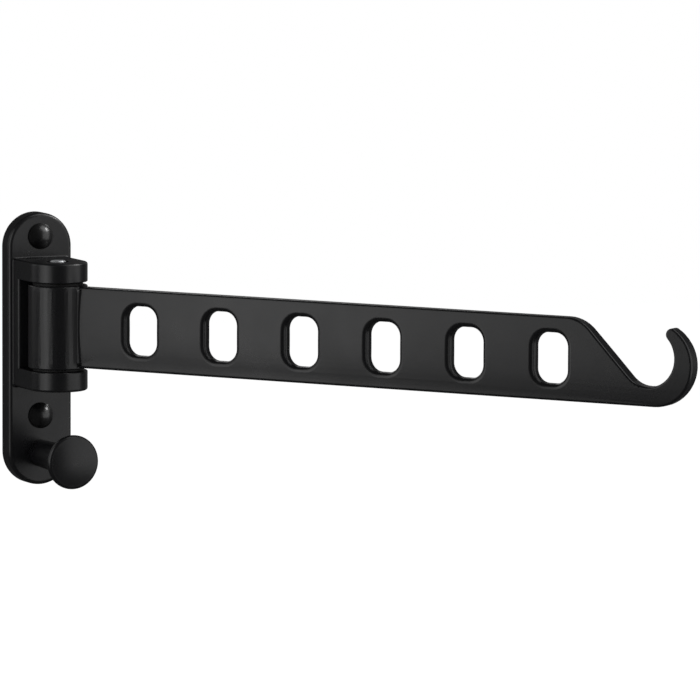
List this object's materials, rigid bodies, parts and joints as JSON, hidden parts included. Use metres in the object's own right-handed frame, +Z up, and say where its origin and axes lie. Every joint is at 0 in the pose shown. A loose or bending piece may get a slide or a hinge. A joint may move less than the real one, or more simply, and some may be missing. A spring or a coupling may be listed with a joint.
{
  "type": "wall clothing rack",
  "caption": "Matt black folding wall clothing rack: a slotted arm with an end hook swings on a wall bracket above a round coat knob.",
  "frame": {"origin": "the midpoint between the two wall screws, on the plane of the wall", "axes": "+Z is up the wall, -Y stands straight out of the wall into the room, and +X is to the right for someone who faces the wall"},
  "size_m": [0.1945, 0.3097, 0.12],
  "materials": {
    "black_casting": "fine matt powder coat on a zinc casting",
    "black_cap": "polished injection moulding",
    "black_nylon": "as moulded",
    "bright_steel": "bright zinc plate and ground pin"
  },
  "bodies": {
    "bracket": {"wall_bracket": "black_casting", "friction_washer": "black_nylon", "hinge_pin": "bright_steel", "knob": "black_casting", "knob_screw": "bright_steel", "wall_screws": "bright_steel", "screw_caps": "black_cap"},
    "arm": {"swing_arm": "black_casting", "upper_bush": "black_nylon", "lower_bush": "black_nylon"}
  },
  "joints": [
    {"name": "arm_swing", "type": "hinge", "parent": "bracket", "child": "arm", "pos_m": [0, -0.0269, 0.002], "axis": [0, 0, 1], "range_deg": [-124.9, 55.1]}
  ]
}
